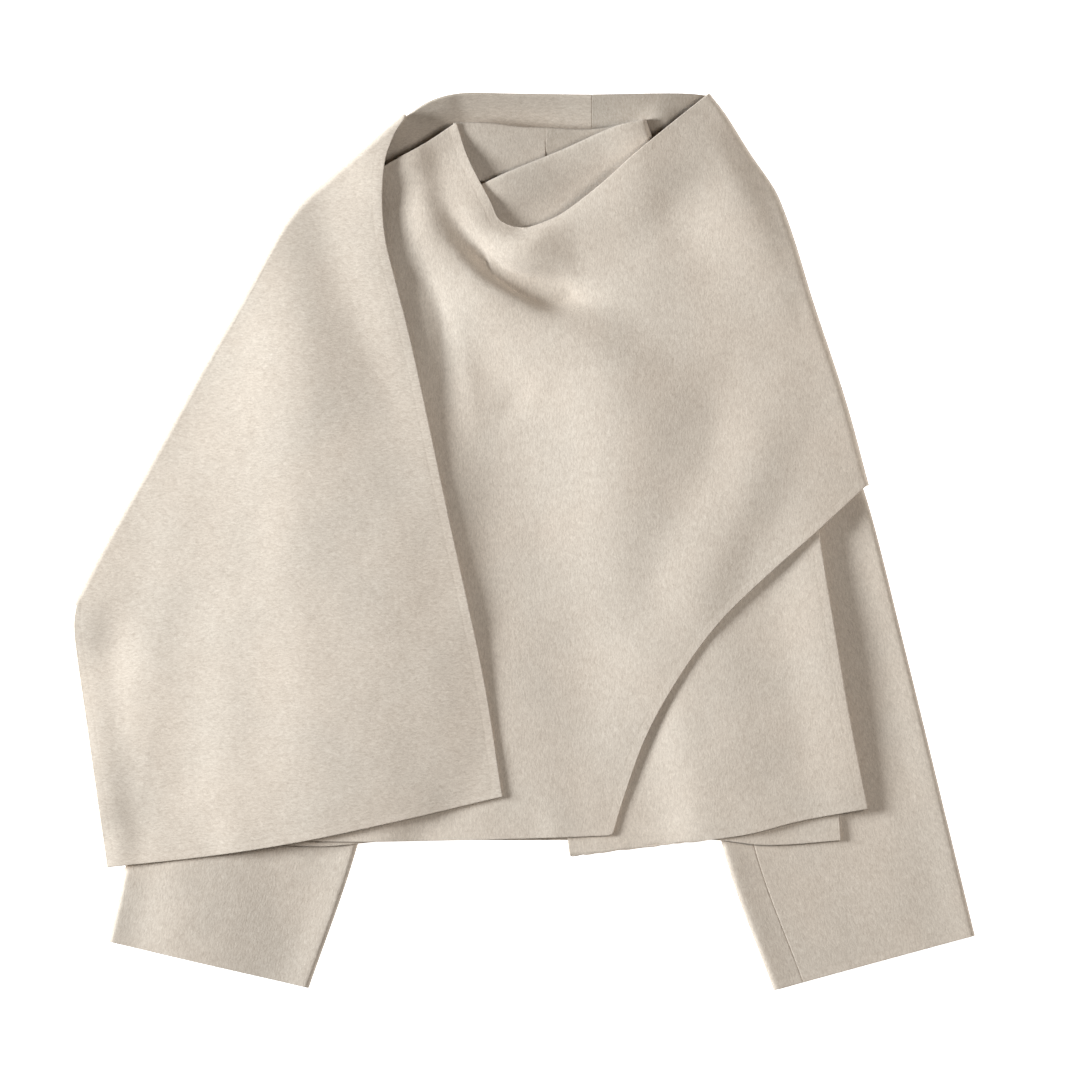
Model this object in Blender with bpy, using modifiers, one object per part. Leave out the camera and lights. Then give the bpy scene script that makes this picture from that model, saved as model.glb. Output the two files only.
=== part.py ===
"""Cape coat of double-faced wool, laid flat on its back.

Sizes are millimetres in the tables and metres in the meshes.  X runs to the wearer's left, Y to the neck and Z up,
towards whoever looks down on the coat.  Every piece of cloth is a grid of sections: its outline comes from short
edge tables, and its height from laying it on the pieces below, with its largest folds on top.
"""
import bpy
import numpy as np
from math import cos, pi, radians, sin

MM = 0.001
CLOTH = 2.5                 # thickness of the double cloth
GAP = 0.4                   # air between two layers that lie on each other
SEAM = 0.3                  # air between two pieces that are sewn edge to edge
SAG = 0.5                   # how far each round of settling lets the cloth sink
ROUNDS = 60                 # rounds of settling
FOLD_RISE = 8.0             # rise of the cloth, middle to middle, over a folded edge
FOLD_REACH = 3.2            # half width of the rolled edge, to the middle of the cloth
FOLD_END = 0.45             # share of that rise and width left at both ends of a fold
FOLD_TAPER = 0.12           # share of the fold's length over which it narrows to that
ROLL_STEPS = 4              # facets round a folded edge
SLEEVE_RISE = 6.5           # the same rise at the side of a sleeve
SLEEVE_REACH = 2.6
SLEEVE_SEAM = 25.0          # how far a sleeve seam lies from the side of the sleeve
TERRAIN_CELL = 2.0          # cell of the height map that each piece is laid on
TERRAIN_SIZE = 400.0        # half the side of that map
WOOL = (0.62, 0.55, 0.47, 1.0)

# ---- edges of the pieces: x, y ------------------------------------------------------------------------------
SCARF_CUT = ((-95, 352), (-106, 333), (-114, 313), (-116, 279), (-113, 246), (-105, 214), (-89, 150),
             (-61, 20), (-33, -109), (-17, -209))
SCARF_HEM = ((-17, -209), (-98, -228), (-183, -246), (-259, -258), (-341, -267))
SCARF_SIDE = ((-369, -51), (-369, -76), (-358, -150), (-346, -232), (-341, -267))
SCARF_FOLD = ((-95, 353), (-123, 329), (-157, 300), (-180, 280), (-197, 260), (-214, 231), (-232, 198),
              (-267, 137), (-312, 55), (-347, -7), (-369, -51))
CAPE_SEAM = ((56, 366), (56, 79))
CAPE_TOP_RIGHT = ((-95, 353), (-73, 364), (-48, 369), (-11, 368), (56, 366))
CAPE_HEM_RIGHT = ((-369, -51), (-240, 20), (-100, 68), (0, 79), (56, 79))
CAPE_TOP_LEFT = ((152, 367), (124, 367), (56, 366))
CAPE_HEM_LEFT = ((283, 46), (200, 60), (120, 74), (56, 79))
FRONT_FOLD = ((152, 367), (166, 349), (185, 319), (205, 290), (214, 270), (224, 241), (237, 198), (264, 116),
              (283, 46))
FRONT_SHOULDER = ((-169, 269), (-142, 291), (-112, 313), (-84, 328), (-59, 343))
NECKLINE = ((-59, 343), (-46, 313), (-28, 280), (-19, 263), (0, 257), (18, 262), (34, 270), (64, 293),
            (92, 318), (121, 342), (152, 367))
FRONT_SIDE = ((-169, 269), (-199, 165), (-215, 42), (-225, -110), (-231, -243))
FRONT_HEM = ((-231, -243), (-141, -246), (-19, -244), (73, -241))
FRONT_CURVE = ((73, -241), (81, -214), (100, -161), (127, -112), (160, -67), (200, -28), (241, 8), (283, 46))
UNDER_SHOULDER = ((-30, 236), (40, 250), (120, 262), (186, 244))
UNDER_SIDE = ((186, 244), (222, 150), (240, 50), (242, 9), (254, -67), (267, -143), (282, -219))
UNDER_HEM = ((39, -254), (112, -248), (178, -241), (227, -229), (282, -219))
UNDER_FRONT = ((-30, 236), (-19, 173), (18, -48), (36, -243), (39, -254))
BACK_SHOULDER = ((-169, 250), (-60, 306), (18, 293), (102, 306), (190, 250))
BACK_HEM = ((-231, -246), (-167, -250), (-101, -245), (14, -245), (145, -244), (200, -249), (260, -245))
BACK_SIDE_RIGHT = ((-169, 250), (-199, 165), (-213, 42), (-224, -130), (-231, -246))
BACK_SIDE_LEFT = ((190, 250), (220, 165), (239, 42), (253, -130), (260, -245))
COLLAR_TOP_RIGHT = ((-58, 343), (-29, 343), (-5, 340), (18, 339))
COLLAR_FOOT_RIGHT = ((-60, 308), (-20, 300), (18, 296))
COLLAR_TOP_LEFT = ((18, 339), (60, 338), (100, 346))
COLLAR_FOOT_LEFT = ((18, 296), (70, 300), (112, 312))
TAB_TOP = ((-52, 288), (-34, 293), (-12, 303), (32, 321), (73, 339), (100, 346))
TAB_FOOT = ((-44, 244), (0, 248), (50, 262), (90, 286), (112, 312))

# ---- sleeves: x and y of the outer side, x and y of the inner side ------------------------------------------
LEFT_SLEEVE = ((206, 236, 100, 196), (232, 158, 112, 108), (258, 88, 120, 26), (281, 36, 128, -32),
               (313, -89, 143, -120), (343, -212, 163, -250), (370, -323, 205, -368))
RIGHT_SLEEVE = ((-186, 236, -82, 196), (-214, 140, -88, 108), (-248, 66, -92, 26), (-279, -6, -99, -48),
                (-309, -130, -113, -150), (-325, -258, -138, -256), (-340, -328, -176, -366))

# ---- largest folds: start x y, middle x y, end x y, height at the start and at the end, half width ----------
SCARF_FOLDS = {
    "raised cut edge": (-108, 326, -112, 240, -40, -90, 17.0, 3.0, 42.0),
    "long roll": (-212, 190, -214, -48, -205, -190, 8.0, 4.0, 45.0),
    "side roll": (-330, 10, -330, -120, -310, -240, 4.0, 3.0, 30.0),
}
FRONT_FOLDS = {
    "cowl roll": (-52, 316, -12, 240, 92, 262, 13.0, 8.0, 26.0),
    "roll beside the cowl": (-92, 296, -88, 230, -58, 150, 11.0, 5.0, 24.0),
    "right arm of the V": (-76, 190, -3, 91, 62, -24, 5.0, 3.0, 45.0),
    "left arm of the V": (206, 200, 145, 83, 80, -48, 6.0, 3.0, 45.0),
    "raised front edge": (262, 44, 165, -45, 88, -205, 3.0, 4.0, 22.0),
}
NO_FOLDS = {}


def clear_scene():
    for old in list(bpy.data.objects):
        bpy.data.objects.remove(old, do_unlink=True)


def curve_through(points, cells):
    """A Catmull-Rom curve through the points, cut into equal cells."""
    p = np.array(points, float)
    p = np.vstack((2 * p[0] - p[1], p, 2 * p[-1] - p[-2]))
    t = np.linspace(0.0, 1.0, 13)[:, None]
    dense = [p[1][None]]
    for a, b, c, d in zip(p[:-3], p[1:-2], p[2:-1], p[3:]):
        run = 0.5 * (2 * b + (c - a) * t + (2 * a - 5 * b + 4 * c - d) * t**2 + (3 * b - a - 3 * c + d) * t**3)
        dense.append(run[1:])
    dense = np.vstack(dense)
    length = np.concatenate(([0.0], np.cumsum(np.linalg.norm(np.diff(dense, axis=0), axis=1))))
    where = np.linspace(0.0, length[-1], cells + 1)
    return np.column_stack([np.interp(where, length, dense[:, k]) for k in range(p.shape[1])])


def edge_of(*runs):
    """Joins curves that meet at corners: each run is a table and its number of cells."""
    parts = [curve_through(points, cells) for points, cells in runs]
    return np.vstack([parts[0]] + [part[1:] for part in parts[1:]])


def patch(first, last, start, end):
    """Grid between four edges: rows run from first to last, and columns from start to end."""
    u = np.linspace(0.0, 1.0, len(first))[None, :, None]
    v = np.linspace(0.0, 1.0, len(start))[:, None, None]
    between_rows = (1 - v) * first[None] + v * last[None]
    between_columns = (1 - u) * start[:, None] + u * end[:, None]
    corners = ((1 - v) * ((1 - u) * first[0] + u * first[-1]) + v * ((1 - u) * last[0] + u * last[-1]))
    return between_rows + between_columns - corners


def triangles_of(rows, columns):
    """Two triangles for each cell of a grid."""
    index = np.arange(rows * columns).reshape(rows, columns)
    a, b = index[:-1, :-1].ravel(), index[:-1, 1:].ravel()
    c, d = index[1:, 1:].ravel(), index[1:, :-1].ravel()
    return np.vstack((np.column_stack((a, b, c)), np.column_stack((a, c, d))))


class Terrain:
    """Height map of the top of all that has been laid down so far."""

    def __init__(self):
        side = int(2 * TERRAIN_SIZE / TERRAIN_CELL) + 1
        self.top = np.zeros((side, side))

    def cells_under(self, corners, spread):
        """Rows, columns and barycentric weights of the cells under one triangle."""
        lo = np.floor((corners[:, :2].min(0) + TERRAIN_SIZE) / TERRAIN_CELL).astype(int) - spread
        hi = np.ceil((corners[:, :2].max(0) + TERRAIN_SIZE) / TERRAIN_CELL).astype(int) + spread
        column, row = np.meshgrid(np.arange(lo[0], hi[0] + 1), np.arange(lo[1], hi[1] + 1))
        x = column * TERRAIN_CELL - TERRAIN_SIZE
        y = row * TERRAIN_CELL - TERRAIN_SIZE
        (ax, ay), (bx, by), (cx, cy) = corners[:, :2]
        area = (bx - ax) * (cy - ay) - (cx - ax) * (by - ay)
        if abs(area) < 1e-6:
            return row[:0], column[:0], np.zeros((0, 3))
        wb = ((x - ax) * (cy - ay) - (cx - ax) * (y - ay)) / area
        wc = ((bx - ax) * (y - ay) - (x - ax) * (by - ay)) / area
        wa = 1 - wb - wc
        reach = np.sqrt(abs(area)) * 0.02 + spread * TERRAIN_CELL * 1.5
        slack = reach / max(np.ptp(corners[:, 0]), np.ptp(corners[:, 1]), TERRAIN_CELL)
        inside = (wa > -slack) & (wb > -slack) & (wc > -slack)
        return row[inside], column[inside], np.column_stack((wa[inside], wb[inside], wc[inside]))

    def cover(self, grid):
        """Adds the top of a piece that now lies here."""
        points = grid.reshape(-1, 3)
        for triangle in triangles_of(*grid.shape[:2]):
            corners = points[triangle]
            normal = np.cross(corners[1] - corners[0], corners[2] - corners[0])
            steep = np.linalg.norm(normal) / max(abs(normal[2]), 1e-9)
            row, column, weight = self.cells_under(corners, 0)
            height = weight @ corners[:, 2] + 0.5 * CLOTH * min(steep, 2.0)
            np.maximum.at(self.top, (row, column), height)

    def need(self, flat):
        """Lowest height, at the middle of the cloth, that each point of a grid may have."""
        points = flat.reshape(-1, 2)
        lowest = np.zeros(len(points))
        for triangle in triangles_of(*flat.shape[:2]):
            row, column, _ = self.cells_under(points[triangle], 1)
            if len(row):
                top = self.top[row, column].max()
                lowest[triangle] = np.maximum(lowest[triangle], top)
        lowest = lowest + 0.5 * CLOTH + GAP * (lowest > 0)
        return lowest.reshape(flat.shape[:2])


def settle(need):
    """Cloth that bridges the steps below it and sinks between them."""
    z = need.copy()
    for _ in range(ROUNDS):
        p = np.pad(z, 1, mode="edge")
        mean = (p[:-2, 1:-1] + p[2:, 1:-1] + p[1:-1, :-2] + p[1:-1, 2:]) / 4
        z = np.maximum(need, mean - SAG)
    return z


def fold_height(flat, folds):
    """Sum of soft ridges, each along a bent line, tapered at its ends and sides."""
    height = np.zeros(flat.shape[:2])
    for x0, y0, x1, y1, x2, y2, start, end, half_width in folds.values():
        s = np.linspace(0.0, 1.0, 41)
        line = curve_through(((x0, y0), (x1, y1), (x2, y2)), 40)
        away = np.linalg.norm(flat[:, :, None, :] - line, axis=-1)
        nearest = away.argmin(-1)
        side = np.clip(away.min(-1) / half_width, 0.0, 1.0)
        along = s[nearest]
        taper = np.sqrt(np.clip(np.sin(pi * (0.12 + 0.76 * along)), 0.0, 1.0))
        height += (start + (end - start) * along) * taper * (0.5 + 0.5 * np.cos(pi * side))
    return height


def inward(line, towards):
    """Unit normals of a line, on the side where the point towards lies."""
    along = np.gradient(line, axis=0)
    normal = np.column_stack((-along[:, 1], along[:, 0]))
    normal /= np.linalg.norm(normal, axis=1)[:, None]
    side = np.sum(normal * (np.array(towards) - line), axis=1)
    return normal * np.sign(side)[:, None]


def end_taper(rows):
    """Share of a fold's full size at each of its rows: less towards both ends."""
    s = np.linspace(0.0, 1.0, rows)
    near = np.clip(np.minimum(s, 1.0 - s) / FOLD_TAPER, 0.0, 1.0)
    return FOLD_END + (1.0 - FOLD_END) * np.sin(0.5 * pi * near)


def roll(centre, outward, low, high, reach):
    """Sections round a folded edge, without their two ends: from high, above, to low, below."""
    sections = []
    for step in range(1, ROLL_STEPS):
        angle = pi / 2 - pi * step / ROLL_STEPS
        flat = centre + outward * (reach * cos(angle))[:, None]
        z = 0.5 * (low + high) + 0.5 * (high - low) * sin(angle)
        sections.append(np.column_stack((flat, z)))
    return np.stack(sections, axis=1)


def with_height(flat, z):
    return np.dstack((flat, z))


def wool_material(name):
    material = bpy.data.materials.new(name)
    material.use_nodes = True
    shader = material.node_tree.nodes["Principled BSDF"]
    shader.inputs["Base Color"].default_value = WOOL
    shader.inputs["Roughness"].default_value = 0.92
    shader.inputs["Metallic"].default_value = 0.0
    material.diffuse_color = WOOL
    return material


def cloth_piece(collection, name, grid):
    """One piece of cloth: an open grid of sections with a wall put round it."""
    rows, columns = grid.shape[:2]
    mesh = bpy.data.meshes.new(name)
    mesh.from_pydata((grid.reshape(-1, 3) * MM).tolist(), [], triangles_of(rows, columns).tolist())
    mesh.validate()
    mesh.shade_smooth()
    mesh.set_sharp_from_angle(angle=radians(50))
    piece = bpy.data.objects.new(name, mesh)
    piece.data.materials.append(wool_material(name + "_wool"))
    collection.objects.link(piece)
    wall = piece.modifiers.new("Wall", "SOLIDIFY")
    wall.thickness = CLOTH * MM
    wall.offset = 0.0
    wall.use_even_offset = True
    return piece


class Folded:
    """A panel that lies on top, folds over one side and goes on underneath."""

    def __init__(self, front, fold, back, towards):
        inside = inward(fold, towards)
        share = end_taper(len(fold))
        self.outward = -inside
        self.reach = FOLD_REACH * share
        self.rise = FOLD_RISE * share
        self.centre = fold + inside * (self.reach + 0.5 * CLOTH)[:, None]
        self.front = self.pulled(front, self.centre, -1)
        self.back = self.pulled(back, self.centre, 0)
        self.back_height = np.full(back.shape[:2], 0.5 * CLOTH)

    @staticmethod
    def pulled(flat, target, column):
        """Moves one end column of a grid to a line, and the rest with it, less and less."""
        share = np.linspace(0.0, 1.0, flat.shape[1])
        if column == 0:
            share = share[::-1]
        return flat + (target - flat[:, column])[:, None] * (share**6)[None, :, None]

    def lie_below(self, terrain):
        terrain.cover(with_height(self.back, self.back_height))

    def lay(self, terrain, folds):
        need = terrain.need(self.front)
        need[:, -1] = np.maximum(need[:, -1], self.back_height[:, 0] + self.rise)
        self.front_height = settle(need) + fold_height(self.front, folds)
        terrain.cover(with_height(self.front, self.front_height))

    def grid(self):
        rolled = roll(self.centre, self.outward, self.back_height[:, 0], self.front_height[:, -1], self.reach)
        return np.hstack((with_height(self.front, self.front_height), rolled,
                          with_height(self.back, self.back_height)))


def shorten(edge, amount, at_end):
    """Moves the last or first point of a closed-up edge along x, to leave half a seam of air."""
    edge = edge.copy()
    edge[-1 if at_end else 0, 0] += amount
    return edge


def make_scarf():
    rows = 14
    cut = curve_through(SCARF_CUT[::-1], 20)
    side = curve_through(SCARF_SIDE[::-1], 20)
    fold = curve_through(SCARF_FOLD, rows)
    hem = curve_through(SCARF_HEM, rows)
    front = patch(cut, side, hem, fold)
    seam = curve_through(CAPE_SEAM, rows) - (0.5 * SEAM, 0)
    top = shorten(curve_through(CAPE_TOP_RIGHT, 12), -0.5 * SEAM, True)
    bottom = shorten(curve_through(CAPE_HEM_RIGHT, 12), -0.5 * SEAM, True)
    back = patch(top, bottom, fold, seam)
    return Folded(front, fold, back, (-60, -40))


def make_front_right():
    rows = 18
    top = edge_of((FRONT_SHOULDER, 6), (NECKLINE, 18))
    bottom = edge_of((FRONT_HEM, 11), (FRONT_CURVE, 13))
    side = curve_through(FRONT_SIDE, rows)
    fold = curve_through(FRONT_FOLD, rows)
    front = patch(top, bottom, side, fold)
    seam = curve_through(CAPE_SEAM, rows) + (0.5 * SEAM, 0)
    back_top = shorten(curve_through(CAPE_TOP_LEFT, 7), 0.5 * SEAM, True)
    back_bottom = shorten(curve_through(CAPE_HEM_LEFT, 7), 0.5 * SEAM, True)
    back = patch(back_top, back_bottom, fold, seam)
    return Folded(front, fold, back, (60, 100))


def make_back():
    return patch(curve_through(BACK_SHOULDER, 14), curve_through(BACK_HEM, 14),
                 curve_through(BACK_SIDE_RIGHT, 14), curve_through(BACK_SIDE_LEFT, 14))


def make_front_left():
    return patch(curve_through(UNDER_SHOULDER, 10), curve_through(UNDER_HEM, 10),
                 curve_through(UNDER_FRONT, 14), curve_through(UNDER_SIDE, 14))


def make_collar_right():
    top = curve_through(COLLAR_TOP_RIGHT, 4) - (0.5 * SEAM, 0)
    foot = curve_through(COLLAR_FOOT_RIGHT, 4) - (0.5 * SEAM, -SEAM)
    return patch(top, foot, curve_through((top[0], foot[0]), 3), curve_through((top[-1], foot[-1]), 3))


class CollarLeft(Folded):
    """The left half of the stand collar: its band behind the neck folds forward into the tab."""

    def __init__(self):
        fold = curve_through((COLLAR_TOP_LEFT[-1], COLLAR_FOOT_LEFT[-1]), 3)
        tab_end = curve_through((TAB_TOP[0], TAB_FOOT[0]), 3)
        front = patch(curve_through(TAB_TOP, 8), curve_through(TAB_FOOT, 8), tab_end, fold)
        top = curve_through(COLLAR_TOP_LEFT[::-1], 5)
        foot = curve_through(COLLAR_FOOT_LEFT[::-1], 5) + (0, SEAM)
        top[-1, 0] += 0.5 * SEAM
        foot[-1, 0] += 0.5 * SEAM
        back = patch(top, foot, fold, curve_through((top[-1], foot[-1]), 3))
        super().__init__(front, fold, back, (40, 310))

    def lie_below(self, terrain):
        self.back_height = settle(terrain.need(self.back))
        super().lie_below(terrain)


class Sleeve:
    """A flat tube: rings of one upper and one lower panel, with a rolled side at each edge."""

    across = 6

    def __init__(self, table, rows):
        line = curve_through(table, rows)
        self.outer, self.inner = line[:, :2], line[:, 2:]
        self.reach = SLEEVE_REACH + 0.5 * CLOTH
        self.outward = self.outer - self.inner
        self.width = np.linalg.norm(self.outward, axis=1)
        self.outward /= self.width[:, None]
        share = self.shares()
        self.flat = self.inner[:, None] + self.outward[:, None] * share[:, :, None]

    def shares(self):
        """Distance of each column from the inner side, with columns at both seams."""
        first = np.full(len(self.width), self.reach)
        near = np.full(len(self.width), SLEEVE_SEAM)
        far = self.width - SLEEVE_SEAM
        last = self.width - self.reach
        middle = [near + (far - near) * step / (self.across - 2) for step in range(self.across - 1)]
        return np.column_stack([first] + middle + [last])

    def lay(self, terrain):
        self.low = settle(terrain.need(self.flat))
        need = self.low + CLOTH + GAP
        need[:, 0] = self.low[:, 0] + SLEEVE_RISE
        need[:, -1] = self.low[:, -1] + SLEEVE_RISE
        self.high = settle(need)
        terrain.cover(with_height(self.flat, self.high))

    def side(self, column, outward):
        reach = np.full(len(outward), SLEEVE_REACH)
        return roll(self.flat[:, column], outward, self.low[:, column], self.high[:, column], reach)

    def parts(self):
        """Sections in order round the tube, and where its corners are."""
        upper = with_height(self.flat, self.high)
        lower = with_height(self.flat, self.low)
        inner = self.side(0, -self.outward)
        outer = self.side(-1, self.outward)
        return upper, lower, inner, outer


def trimmed(grid, at_start, at_end):
    """Draws the long edges of a strip back by half a seam."""
    grid = grid.copy()
    for wanted, edge, inside in ((at_start, 0, 1), (at_end, -1, -2)):
        if wanted:
            step = grid[:, inside] - grid[:, edge]
            grid[:, edge] += step / np.linalg.norm(step, axis=1)[:, None] * (0.5 * SEAM)
    return grid


def left_sleeve_panels(sleeve):
    """The front seam lies on top, beside the inner side, and the back seam below, beside the outer side."""
    upper, lower, inner, outer = sleeve.parts()
    upper_panel = np.hstack((upper[:, 1:], outer, lower[:, :-3:-1]))
    under_panel = np.hstack((lower[:, -2::-1], inner[:, ::-1], upper[:, :2]))
    return trimmed(upper_panel, True, True), trimmed(under_panel, True, True)


def right_sleeve_panels(sleeve):
    """Both seams lie below, so the upper panel rolls round both sides."""
    upper, lower, inner, outer = sleeve.parts()
    upper_panel = np.hstack((lower[:, 1::-1], inner[:, ::-1], upper, outer, lower[:, :-3:-1]))
    under_panel = lower[:, -2:0:-1]
    return trimmed(upper_panel, True, True), trimmed(under_panel, True, True)


def build():
    clear_scene()
    collection = bpy.data.collections.new("cape_coat")
    bpy.context.scene.collection.children.link(collection)
    terrain = Terrain()
    scarf = make_scarf()
    front_right = make_front_right()
    scarf.lie_below(terrain)
    front_right.lie_below(terrain)

    left_sleeve = Sleeve(LEFT_SLEEVE, 13)
    right_sleeve = Sleeve(RIGHT_SLEEVE, 13)
    left_sleeve.lay(terrain)
    right_sleeve.lay(terrain)
    panels = dict(zip(("sleeve_left_upper", "sleeve_left_under"), left_sleeve_panels(left_sleeve)))
    panels.update(zip(("sleeve_right_upper", "sleeve_right_under"), right_sleeve_panels(right_sleeve)))

    back = make_back()
    collar_right = make_collar_right()
    collar_left = CollarLeft()
    for name, flat in (("back", back), ("collar_right", collar_right)):
        panels[name] = with_height(flat, settle(terrain.need(flat)))
        terrain.cover(panels[name])
    collar_left.lie_below(terrain)

    front_left = make_front_left()
    panels["front_left"] = with_height(front_left, settle(terrain.need(front_left)))
    terrain.cover(panels["front_left"])
    collar_left.lay(terrain, NO_FOLDS)
    front_right.lay(terrain, FRONT_FOLDS)
    scarf.lay(terrain, SCARF_FOLDS)
    panels["collar_left"] = collar_left.grid()
    panels["front_right"] = front_right.grid()
    panels["scarf"] = scarf.grid()
    for name, grid in panels.items():
        cloth_piece(collection, name, grid)


build()
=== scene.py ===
from math import cos, pi, radians, sin

import bmesh
import bpy
import numpy as np
from bpy.props import FloatProperty, FloatVectorProperty, PointerProperty
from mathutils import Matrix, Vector


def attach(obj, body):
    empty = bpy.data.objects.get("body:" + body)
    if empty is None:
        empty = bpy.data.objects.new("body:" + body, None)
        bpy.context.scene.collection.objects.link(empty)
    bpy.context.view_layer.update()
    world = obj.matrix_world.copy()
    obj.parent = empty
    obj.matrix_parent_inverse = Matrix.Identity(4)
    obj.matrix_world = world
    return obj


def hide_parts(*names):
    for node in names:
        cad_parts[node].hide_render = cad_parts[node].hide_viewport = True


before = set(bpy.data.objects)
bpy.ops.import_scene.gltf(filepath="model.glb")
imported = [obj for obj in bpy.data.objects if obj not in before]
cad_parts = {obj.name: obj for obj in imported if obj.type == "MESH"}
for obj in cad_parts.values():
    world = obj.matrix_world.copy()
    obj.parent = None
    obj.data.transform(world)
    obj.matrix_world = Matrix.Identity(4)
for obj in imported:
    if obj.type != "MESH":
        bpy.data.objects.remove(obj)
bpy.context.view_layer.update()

bl_info = {
    "name": "Cape Coat",
    "version": (1, 0, 0),
    "blender": (4, 5, 0),
    "location": "3D View > Sidebar > Cape Coat",
    "description": "Lays out a cape coat of brushed double-faced wool, piece by piece",
    "category": "Object",
}

# Tables are in millimetres, with X to the wearer's left and Y to the neck, as the frame's solids lie.
MM = 0.001
BODY = "root"

# ---- edges of the pieces: x, y -------------------------------------------------------------------
SCARF_CUT = ((-98, 349), (-107, 333), (-114, 313), (-116, 279), (-113, 246), (-105, 214), (-89, 150),
             (-61, 20), (-33, -109), (-17, -209))
SCARF_HEM = ((-17, -209), (-98, -228), (-183, -246), (-259, -258), (-341, -267))
SCARF_SIDE = ((-369, -51), (-369, -76), (-358, -150), (-346, -232), (-341, -267))
SCARF_FOLD = ((-98, 350), (-123, 329), (-157, 300), (-180, 280), (-197, 260), (-214, 231), (-232, 198),
              (-267, 137), (-312, 55), (-347, -7), (-369, -51))
CAPE_SEAM = ((56, 366), (56, 79))
CAPE_TOP_RIGHT = ((-95, 353), (-73, 364), (-48, 369), (-11, 368), (56, 366))
CAPE_HEM_RIGHT = ((-369, -51), (-240, 20), (-100, 68), (0, 79), (56, 79))
CAPE_TOP_LEFT = ((152, 367), (124, 367), (56, 366))
CAPE_HEM_LEFT = ((283, 46), (200, 60), (120, 74), (56, 79))
FRONT_FOLD = ((152, 367), (166, 349), (185, 319), (205, 290), (214, 270), (224, 241), (237, 198), (264, 116),
              (283, 46))
FRONT_SHOULDER = ((-169, 269), (-142, 289), (-111, 309), (-82, 325), (-55, 343))
NECKLINE = ((-55, 343), (-45, 313), (-28, 280), (-19, 263), (0, 257), (18, 262), (34, 270), (64, 293),
            (92, 318), (121, 342), (152, 367))
FRONT_SIDE = ((-169, 269), (-199, 165), (-215, 42), (-225, -110), (-231, -243))
FRONT_HEM = ((-231, -243), (-141, -246), (-19, -244), (73, -241))
FRONT_CURVE = ((73, -241), (81, -214), (100, -161), (127, -112), (160, -67), (200, -28), (241, 8), (283, 46))
UNDER_SHOULDER = ((-30, 236), (40, 250), (120, 262), (186, 244))
UNDER_SIDE = ((186, 244), (222, 150), (240, 50), (242, 9), (254, -67), (267, -143), (282, -219))
UNDER_HEM = ((39, -254), (112, -248), (178, -241), (227, -229), (282, -219))
UNDER_FRONT = ((-30, 236), (-19, 173), (18, -48), (36, -243), (39, -254))
BACK_SHOULDER = ((-169, 250), (-60, 306), (18, 293), (102, 306), (190, 250))
BACK_HEM = ((-231, -246), (-167, -250), (-101, -245), (14, -245), (145, -244), (200, -249), (260, -245))
BACK_SIDE_RIGHT = ((-169, 250), (-199, 165), (-213, 42), (-224, -130), (-231, -246))
BACK_SIDE_LEFT = ((190, 250), (220, 165), (239, 42), (253, -130), (260, -245))
COLLAR_TOP_RIGHT = ((-58, 343), (-29, 343), (-5, 340), (18, 339))
COLLAR_FOOT_RIGHT = ((-60, 299), (-20, 293), (18, 296))
COLLAR_TOP_LEFT = ((18, 339), (60, 338), (100, 346))
COLLAR_FOOT_LEFT = ((18, 296), (70, 300), (112, 312))
TAB_TOP = ((-52, 288), (-34, 293), (-12, 303), (32, 321), (73, 339), (100, 346))
TAB_FOOT = ((-44, 244), (0, 248), (50, 262), (90, 286), (112, 312))

# ---- sleeves: x and y of the outer side, x and y of the inner side -------------------------------
LEFT_SLEEVE = ((206, 236, 100, 196), (232, 158, 112, 108), (258, 88, 120, 26), (281, 36, 128, -32),
               (313, -89, 143, -120), (343, -212, 163, -250), (370, -323, 205, -368))
RIGHT_SLEEVE = ((-186, 236, -82, 196), (-214, 140, -88, 108), (-248, 66, -92, 26), (-279, -6, -99, -48),
                (-309, -130, -113, -150), (-325, -258, -138, -256), (-340, -328, -176, -366))

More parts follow.
